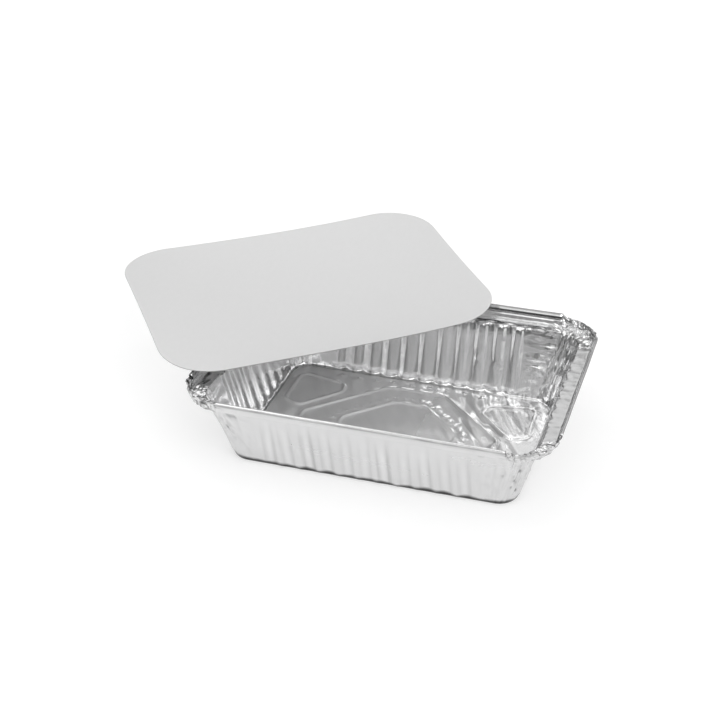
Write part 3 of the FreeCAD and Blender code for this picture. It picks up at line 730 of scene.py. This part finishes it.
# vertex attribute that darkens the foil's colour: painted shade in creases, nips and dents, along the bottom fold, the
# rib streaks, the roll and the bead feet
shade_paint = mesh.attributes.new("shade_paint", "FLOAT", "POINT")
wv = np.zeros(len(allv))
ok = vid >= 0
wv[n0 + vid[ok]] = SHADE_OUT[ok]
wv[vid[ok]] = CREASE_SHADE[ok]
for (r, c), i in end_id.items():
    wv[n0 + i] = SHADE_OUT[r, c]
    wv[i] = CREASE_SHADE[r, c]
for i, d in BEAD_FOOT_SHADE.items():
    wv[i] = d
shade_paint.data.foreach_set("value", wv)
nf = len(faces)
for i, poly in enumerate(mesh.polygons):
    if nf <= i < 2 * nf and not face_roll[i - nf]:
        poly.material_index = 1
    elif face_roll[i % nf] if i < 2 * nf else False:
        poly.material_index = 3
    elif i < nf and face_base[i]:
        poly.material_index = 2
    if i < 2 * nf and face_flat[i % nf]:
        poly.use_smooth = False
tray = bpy.data.objects.new("foil_container", mesh)
bpy.context.scene.collection.objects.link(tray)
print("tray verts", len(allv), "tris", sum(len(f) - 2 for f in allf), "open", len(border))

# ---------------------------------------------------------------------------
# the lid: board, a little curled, on the rim
# ---------------------------------------------------------------------------
LID = dict(L=198.7, W=150.3, R=32.1, T=0.5, x=-74.01, y=56.38, yaw=math.radians(36.54),
           z=47.214 + 0.06, sx=-0.02074, sy=0.0281,
           k=(7.733, 8.085, 0.154, 1.607, 0.716, 4.459, -0.046, 0.022, -0.747, -9.024, -0.211, 1.554))


def lid_z(u, w):
    a, b, k = u / 100.0, w / 100.0, LID["k"]
    c, s = math.cos(LID["yaw"]), math.sin(LID["yaw"])
    dx, dy = c * u - s * w, s * u + c * w
    return (LID["z"] + LID["sx"] * dx + LID["sy"] * dy + k[0] * a * a + k[1] * b * b
            + k[2] * a * b + k[3] * a ** 3 + k[4] * a * a * b + k[5] * a * b * b + k[6] * b ** 3
            + k[7] * a ** 4 + k[8] * a ** 3 * b + k[9] * a * a * b * b + k[10] * a * b ** 3 + k[11] * b ** 4)


def lid_outline(inset, n=20, step=2.5):
    L, W, r = LID["L"] / 2 - inset, LID["W"] / 2 - inset, LID["R"] - inset
    out = []
    for cx, cy, a0 in ((L - r, -W + r, -90), (L - r, W - r, 0), (-L + r, W - r, 90), (-L + r, -W + r, 180)):
        for j in range(n + 1):
            a = math.radians(a0 + 90 * j / n)
            out.append((cx + r * math.cos(a), cy + r * math.sin(a)))
    return np.array(out)


base_loop = resample(lid_outline(0.0), 2.2)
NL = len(base_loop)
a = np.roll(base_loop, -1, 0) - np.roll(base_loop, 1, 0)
a /= np.linalg.norm(a, axis=1)[:, None]
out_n = np.column_stack([a[:, 1], -a[:, 0]])
inner_loop = base_loop - out_n * 0.10
second = base_loop - out_n * 0.9
pts2 = [tuple(p) for p in second]
jit = np.random.RandomState(4)
stepg = 4.2
yy, row = -LID["W"] / 2, 0
tree = KDTree(NL)
for i, p in enumerate(inner_loop):
    tree.insert((p[0], p[1], 0), i)
tree.balance()
while yy < LID["W"] / 2:
    xx = -LID["L"] / 2 + (row % 2) * stepg / 2
    while xx < LID["L"] / 2:
        x, y = xx + (jit.rand() - 0.5) * 0.5, yy + (jit.rand() - 0.5) * 0.5
        xx += stepg
        ax, ay = abs(x) - (LID["L"] / 2 - LID["R"]), abs(y) - (LID["W"] / 2 - LID["R"])
        inside = abs(x) < LID["L"] / 2 - 2.5 and abs(y) < LID["W"] / 2 - 2.5
        if ax > 0 and ay > 0 and math.hypot(ax, ay) > LID["R"] - 2.5:
            inside = False
        if inside:
            pts2.append((x, y))
    yy += stepg * 0.866
    row += 1
lv = [Vector((float(p[0]), float(p[1]))) for p in inner_loop] + [Vector((float(p[0]), float(p[1]))) for p in pts2]
r_ = delaunay_2d_cdt(lv, [(i, (i + 1) % NL) for i in range(NL)], [], 1, 1e-6)
lv2, lf, lo_ = r_[0], r_[2], r_[3]
luv = np.array([(v[0], v[1]) for v in lv2])
lfirst = [o[0] if len(o) else -1 for o in lo_]


def lid_xyz(uv, dz):
    c, s = math.cos(LID["yaw"]), math.sin(LID["yaw"])
    u, w = uv[:, 0], uv[:, 1]
    ripple = 0.05 * nz4.fbm(np.column_stack([uv / 30.0, np.full(len(uv), 1.5)]), 2)
    return np.column_stack([LID["x"] + c * u - s * w, LID["y"] + s * u + c * w,
                            lid_z(u, w) + dz + 0.05 + ripple])


m = len(luv)
top_v = lid_xyz(luv, LID["T"])
bot_v = lid_xyz(luv, 0.0)
e1 = lid_xyz(base_loop, LID["T"] - 0.10)
e2 = lid_xyz(base_loop, 0.10)
LV = np.vstack([top_v, bot_v, e1, e2])
loop_id = {f: i for i, f in enumerate(lfirst) if 0 <= f < NL}
LF, mats = [], []
for tri in lf:
    a, b, c_ = tri
    pa, pb, pc = luv[a], luv[b], luv[c_]
    nzz = (pb[0] - pa[0]) * (pc[1] - pa[1]) - (pb[1] - pa[1]) * (pc[0] - pa[0])
    if nzz < 0:
        b, c_ = c_, b
    LF.append((a, b, c_)); mats.append(0)
    LF.append((m + a, m + c_, m + b)); mats.append(1)
for i in range(NL):
    j = (i + 1) % NL
    ti, tj = loop_id[i], loop_id[j]
    LF.append((2 * m + i, 2 * m + j, tj, ti)); mats.append(2)
    LF.append((2 * m + NL + i, 2 * m + NL + j, 2 * m + j, 2 * m + i)); mats.append(2)
    LF.append((m + ti, m + tj, 2 * m + NL + j, 2 * m + NL + i)); mats.append(2)
lm = bpy.data.meshes.new("board_cover")
lm.from_pydata([tuple(v) for v in LV * MM], [], LF)
lm.update()
for p, i in zip(lm.polygons, mats):
    p.material_index = i
    p.use_smooth = i != 2
lid = bpy.data.objects.new("board_cover", lm)
bpy.context.scene.collection.objects.link(lid)

# ---------------------------------------------------------------------------
# materials
# ---------------------------------------------------------------------------


def nodes_of(mat):
    mat.use_nodes = True
    nt = mat.node_tree
    nt.nodes.clear()
    out = nt.nodes.new("ShaderNodeOutputMaterial")
    bs = nt.nodes.new("ShaderNodeBsdfPrincipled")
    nt.links.new(bs.outputs[0], out.inputs[0])
    return nt, bs


def tex(nt, scale, detail=3.0, rough=0.55, stretch=(1, 1, 1), rot=(0, 0, 0)):
    tc = nt.nodes.new("ShaderNodeTexCoord")
    mp = nt.nodes.new("ShaderNodeMapping")
    mp.inputs["Scale"].default_value = stretch
    mp.inputs["Rotation"].default_value = rot
    no = nt.nodes.new("ShaderNodeTexNoise")
    no.inputs["Scale"].default_value = scale
    no.inputs["Detail"].default_value = detail
    no.inputs["Roughness"].default_value = rough
    nt.links.new(tc.outputs["Object"], mp.inputs[0])
    nt.links.new(mp.outputs[0], no.inputs["Vector"])
    return no


def ramp(nt, src, stops):
    r = nt.nodes.new("ShaderNodeValToRGB")
    el = r.color_ramp.elements
    while len(el) > 1:
        el.remove(el[-1])
    el[0].position, el[0].color = stops[0][0], (*stops[0][1], 1)
    for p, c in stops[1:]:
        e = el.new(p)
        e.color = (*c, 1)
    nt.links.new(src, r.inputs[0])
    return r


def grey(v):
    return (v, v, v)


def foil_side(name, lo, hi, r0, r1, crinkle, metal=1.0, shade_on=False, streaks=False):
    mat = bpy.data.materials.new(name)
    nt, bs = nodes_of(mat)
    bs.inputs["Metallic"].default_value = metal
    blot = tex(nt, 60.0, 4.0)
    c = ramp(nt, blot.outputs["Fac"], [(0.25, (lo, lo, lo * 1.003)), (0.75, (hi, hi, hi * 1.003))])
    colour = c.outputs[0]
    # darken the colour by the attribute: painted shade
    if shade_on:
        at = nt.nodes.new("ShaderNodeAttribute")
        at.attribute_name = "shade_paint"
        shade_mult = nt.nodes.new("ShaderNodeMapRange")
        shade_mult.clamp = False
        shade_mult.inputs["To Min"].default_value = 1.0
        shade_mult.inputs["To Max"].default_value = 0.0
        nt.links.new(at.outputs["Fac"], shade_mult.inputs["Value"])
        mul = nt.nodes.new("ShaderNodeMixRGB")
        mul.blend_type = "MULTIPLY"
        mul.inputs[0].default_value = 1.0
        nt.links.new(colour, mul.inputs[1])
        nt.links.new(shade_mult.outputs[0], mul.inputs[2])
        colour = mul.outputs[0]
    nt.links.new(colour, bs.inputs["Base Color"])
    rr = tex(nt, 35.0, 3.0, stretch=(0.25, 3.0, 3.0))
    rrm = ramp(nt, rr.outputs["Fac"], [(0.2, grey(r0)), (0.8, grey(r1))])
    nt.links.new(rrm.outputs[0], bs.inputs["Roughness"])
    grain = tex(nt, 260.0, 2.0, stretch=(0.06, 2.2, 2.2))
    b1 = nt.nodes.new("ShaderNodeBump")
    b1.inputs["Strength"].default_value = 0.25
    b1.inputs["Distance"].default_value = 0.00006
    nt.links.new(grain.outputs["Fac"], b1.inputs["Height"])
    crk = tex(nt, 170.0, 3.0)
    b2 = nt.nodes.new("ShaderNodeBump")
    b2.inputs["Strength"].default_value = crinkle
    b2.inputs["Distance"].default_value = 0.00018
    nt.links.new(crk.outputs["Fac"], b2.inputs["Height"])
    nt.links.new(b1.outputs[0], b2.inputs["Normal"])
    last = b2
    if streaks:
        tc = nt.nodes.new("ShaderNodeTexCoord")
        mp = nt.nodes.new("ShaderNodeMapping")
        mp.vector_type = "TEXTURE"
        mp.inputs["Rotation"].default_value = (0, 0, math.radians(-61.0))
        mp.inputs["Scale"].default_value = (9.0, 1.0, 1.0)
        no = nt.nodes.new("ShaderNodeTexNoise")
        no.inputs["Scale"].default_value = 210.0
        no.inputs["Detail"].default_value = 0.0
        nt.links.new(tc.outputs["Object"], mp.inputs[0])
        nt.links.new(mp.outputs[0], no.inputs["Vector"])
        sep = nt.nodes.new("ShaderNodeSeparateXYZ")
        nt.links.new(tc.outputs["Object"], sep.inputs[0])
        part = nt.nodes.new("ShaderNodeMapRange")
        part.interpolation_type = "SMOOTHSTEP"
        for k_, v_ in (("From Min", 0.014), ("From Max", 0.048), ("To Min", 0.08), ("To Max", 1.0)):
            part.inputs[k_].default_value = v_
        nt.links.new(sep.outputs["X"], part.inputs["Value"])
        # less metallic towards the left, so the near-white colour lightens the base under the lid's shade: painted
        # light
        left_light_lift = nt.nodes.new("ShaderNodeMapRange")
        left_light_lift.interpolation_type = "SMOOTHSTEP"
        for k_, v_ in (("From Min", -0.050), ("From Max", 0.060), ("To Min", metal), ("To Max", 0.80)):
            left_light_lift.inputs[k_].default_value = v_
        nt.links.new(sep.outputs["X"], left_light_lift.inputs["Value"])
        nt.links.new(left_light_lift.outputs[0], bs.inputs["Metallic"])
        # darker stripes multiplied into the colour on the right of the base: painted reflection bands
        shade = nt.nodes.new("ShaderNodeMapRange")
        shade.interpolation_type = "SMOOTHSTEP"
        for k_, v_ in (("From Min", 0.38), ("From Max", 0.54), ("To Min", 0.62), ("To Max", 1.0)):
            shade.inputs[k_].default_value = v_
        nt.links.new(no.outputs["Fac"], shade.inputs["Value"])
        stripe_shade_mix = nt.nodes.new("ShaderNodeMixRGB")
        stripe_shade_mix.blend_type = "MULTIPLY"
        nt.links.new(part.outputs[0], stripe_shade_mix.inputs[0])
        nt.links.new(colour, stripe_shade_mix.inputs[1])
        nt.links.new(shade.outputs[0], stripe_shade_mix.inputs[2])
        nt.links.new(stripe_shade_mix.outputs[0], bs.inputs["Base Color"])
        last = nt.nodes.new("ShaderNodeBump")
        last.inputs["Distance"].default_value = 0.00070
        nt.links.new(part.outputs[0], last.inputs["Strength"])
        nt.links.new(no.outputs["Fac"], last.inputs["Height"])
        nt.links.new(b2.outputs[0], last.inputs["Normal"])
    nt.links.new(last.outputs[0], bs.inputs["Normal"])
    return mat


tray.data.materials.append(foil_side("foil_bright", 0.81, 0.86, 0.11, 0.20, 0.34, shade_on=True))
tray.data.materials.append(foil_side("foil_matt", 0.69, 0.74, 0.20, 0.30, 0.42, shade_on=True))
# the base's copy of the inner foil is near white and only partly metallic, lighter than the walls' foil: painted light
# on the base
tray.data.materials.append(foil_side("foil_base", 0.93, 0.97, 0.09, 0.18, 0.10, metal=0.62, shade_on=True, streaks=True))
tray.data.materials.append(foil_side("foil_rim", 0.82, 0.87, 0.10, 0.18, 0.16, shade_on=True))


def board(name, lo, hi, rough, bump):
    mat = bpy.data.materials.new(name)
    nt, bs = nodes_of(mat)
    f = tex(nt, 420.0, 4.0, stretch=(1.0, 0.45, 1.0))
    c = ramp(nt, f.outputs["Fac"], [(0.3, grey(lo)), (0.7, grey(hi))])
    nt.links.new(c.outputs[0], bs.inputs["Base Color"])
    bs.inputs["Roughness"].default_value = rough
    bs.inputs["Specular IOR Level"].default_value = 0.35
    b = nt.nodes.new("ShaderNodeBump")
    b.inputs["Strength"].default_value = bump
    b.inputs["Distance"].default_value = 0.00005
    nt.links.new(f.outputs["Fac"], b.inputs["Height"])
    nt.links.new(b.outputs[0], bs.inputs["Normal"])
    return mat


# the underside is a lighter copy of the face board, lifting the shade under the lid: painted light
lid.data.materials.append(board("board_face", 0.684, 0.694, 0.62, 0.2))
lid.data.materials.append(board("board_back", 0.82, 0.86, 0.75, 0.4))
# the cut edge is dark grey, partly the board's core and partly painted shade of the edge facing down and away from the
# light
lid.data.materials.append(board("board_cut_shade", 0.36, 0.46, 0.9, 0.6))

# ---------------------------------------------------------------------------
# stage, light and camera
# ---------------------------------------------------------------------------
fm = bpy.data.meshes.new("floor")
S = 12.0
fm.from_pydata([(-S, -S, -0.00003), (S, -S, -0.00003), (S, S, -0.00003), (-S, S, -0.00003)], [], [(0, 1, 2, 3)])
floor = bpy.data.objects.new("floor", fm)
bpy.context.scene.collection.objects.link(floor)
fmat = bpy.data.materials.new("floor_white")
nt, bs = nodes_of(fmat)
bs.inputs["Base Color"].default_value = (0.50, 0.50, 0.50, 1)
bs.inputs["Emission Color"].default_value = (1, 1, 1, 1)
bs.inputs["Emission Strength"].default_value = 0.56
bs.inputs["Roughness"].default_value = 0.9
bs.inputs["Specular IOR Level"].default_value = 0.1
floor.data.materials.append(fmat)

# the room: bright overhead, dim round the horizon, so foil shows its form;
# straight to the camera it is a plain pale backdrop
world = bpy.data.worlds.new("studio")
bpy.context.scene.world = world
world.use_nodes = True
wn = world.node_tree
wn.nodes.clear()
wo = wn.nodes.new("ShaderNodeOutputWorld")
wb = wn.nodes.new("ShaderNodeBackground")
wt = wn.nodes.new("ShaderNodeTexCoord")
wx = wn.nodes.new("ShaderNodeSeparateXYZ")
wn.links.new(wt.outputs["Generated"], wx.inputs[0])


def sky(stops):
    r = wn.nodes.new("ShaderNodeValToRGB")
    wn.links.new(wx.outputs["Z"], r.inputs[0])
    el = r.color_ramp.elements
    el[0].position, el[0].color = stops[0][0], (*grey(stops[0][1]), 1)
    el[1].position, el[1].color = stops[-1][0], (*grey(stops[-1][1]), 1)
    for p_, v_ in stops[1:-1]:
        e_ = el.new(p_)
        e_.color = (*grey(v_), 1)
    return r


front = sky([(0.0, 0.04), (0.15, 0.06), (0.21, 0.38), (0.34, 0.46), (0.43, 1.9), (0.68, 1.9), (0.80, 0.85), (0.92, 0.85), (1.0, 1.2)])
rear = sky([(0.0, 0.03), (0.22, 0.05), (0.36, 0.32), (0.48, 0.50), (0.60, 0.50), (0.74, 1.1), (0.84, 1.6), (1.0, 1.2)])
wm = wn.nodes.new("ShaderNodeMapRange")
wm.interpolation_type = "SMOOTHSTEP"
wm.inputs["From Min"].default_value = -0.60
wm.inputs["From Max"].default_value = 0.15
wn.links.new(wx.outputs["Y"], wm.inputs["Value"])
wmix = wn.nodes.new("ShaderNodeMixRGB")
wn.links.new(wm.outputs[0], wmix.inputs[0])
wn.links.new(front.outputs[0], wmix.inputs[1])
wn.links.new(rear.outputs[0], wmix.inputs[2])
# the room isn't even: soft lighter and darker patches give foil its glints
wn_n = wn.nodes.new("ShaderNodeTexNoise")
wn_n.inputs["Scale"].default_value = 4.0
wn_n.inputs["Detail"].default_value = 1.0
wn.links.new(wt.outputs["Generated"], wn_n.inputs["Vector"])
wn_r = wn.nodes.new("ShaderNodeMapRange")
wn_r.interpolation_type = "SMOOTHSTEP"
for k_, v_ in (("From Min", 0.41), ("From Max", 0.59), ("To Min", 0.42), ("To Max", 1.50)):
    wn_r.inputs[k_].default_value = v_
wn.links.new(wn_n.outputs["Fac"], wn_r.inputs["Value"])
wmul = wn.nodes.new("ShaderNodeMixRGB")
wmul.blend_type = "MULTIPLY"
wmul.inputs[0].default_value = 1.0
wn.links.new(wmix.outputs[0], wmul.inputs[1])
wn.links.new(wn_r.outputs[0], wmul.inputs[2])
wn.links.new(wmul.outputs[0], wb.inputs[0])
wb.inputs[1].default_value = 1.0
plain = wn.nodes.new("ShaderNodeBackground")
plain.inputs[0].default_value = (0.95, 0.95, 0.95, 1)
lp = wn.nodes.new("ShaderNodeLightPath")
mx = wn.nodes.new("ShaderNodeMixShader")
wn.links.new(lp.outputs["Is Camera Ray"], mx.inputs[0])
wn.links.new(wb.outputs[0], mx.inputs[1])
wn.links.new(plain.outputs[0], mx.inputs[2])
wn.links.new(mx.outputs[0], wo.inputs[0])


def area(name, loc, target, size, power):
    ld = bpy.data.lights.new(name, "AREA")
    ld.shape = "RECTANGLE"
    ld.size, ld.size_y = size
    ld.energy = power
    lo = bpy.data.objects.new(name, ld)
    lo.location = loc
    dirv = Vector(loc) - Vector(target)
    lo.rotation_euler = dirv.to_track_quat("Z", "Y").to_euler()
    bpy.context.scene.collection.objects.link(lo)
    return lo


area("key", (2.6, -1.7, 2.9), (0, 0, 0), (3.4, 2.6), 34.0)

# camera: the photograph's viewing angle
AZ, EL, ROLL = 0.301505447, 0.509451683, 0.003433427
CTX, CTY, CD, FPX = -20.9043, 39.59, 845.0561, 1483.8541
back = Vector((math.sin(AZ) * math.cos(EL), -math.cos(AZ) * math.cos(EL), math.sin(EL)))
right = Vector((0, 0, 1)).cross(back).normalized()
upv = back.cross(right)
c, s = math.cos(ROLL), math.sin(ROLL)
r2, u2 = right * c + upv * s, upv * c - right * s
loc = (back * CD + r2 * CTX + u2 * CTY) * MM
cd = bpy.data.cameras.new("camera")
cd.sensor_width = 36.0
cd.lens = FPX / 720.0 * 36.0
cam = bpy.data.objects.new("camera", cd)
bpy.context.scene.collection.objects.link(cam)
mw = Matrix((r2, u2, back)).transposed().to_4x4()
mw.translation = loc
cam.matrix_world = mw
cd.clip_start, cd.clip_end = 0.01, 30.0
bpy.context.scene.camera = cam
bpy.context.scene.view_settings.view_transform = "Standard"
bpy.context.scene.view_settings.look = "None"

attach(tray, "root")
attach(lid, "root")
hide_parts("foil_tray")
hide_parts("board_lid")
